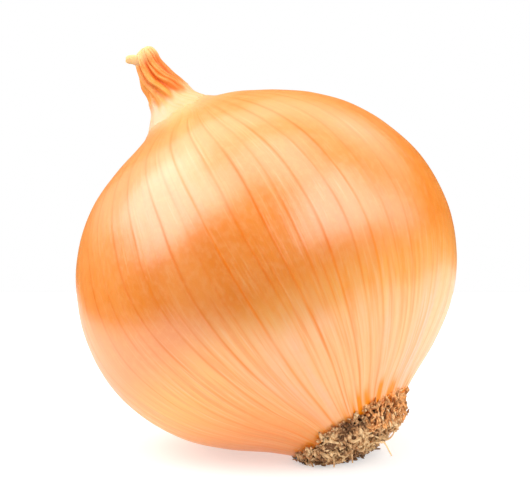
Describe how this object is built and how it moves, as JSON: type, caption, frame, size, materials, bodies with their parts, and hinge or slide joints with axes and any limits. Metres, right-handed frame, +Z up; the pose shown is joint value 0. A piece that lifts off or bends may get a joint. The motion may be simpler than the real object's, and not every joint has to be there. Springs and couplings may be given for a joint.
{
  "type": "onion",
  "caption": "Dry yellow onion lying on its side: ribbed bulb in its skin, twisted dried neck and root tuft.",
  "frame": {"origin": "centre of the flat resting spot under the bulb's middle", "axes": "+Z up from the surface it lies on; the onion's own axis lies in the XZ plane, with the root towards +X and down and the neck towards -X and up"},
  "size_m": [0.0734, 0.075, 0.0773],
  "materials": {
    "dry_skin": "satin papery skin with fine veins",
    "dried_neck": "dry, pleated and fibrous",
    "dried_roots": "matte dry fibres"
  },
  "bodies": {
    "root": {"bulb": "dry_skin", "neck": "dried_neck", "root_tuft": "dried_roots"}
  },
  "joints": []
}
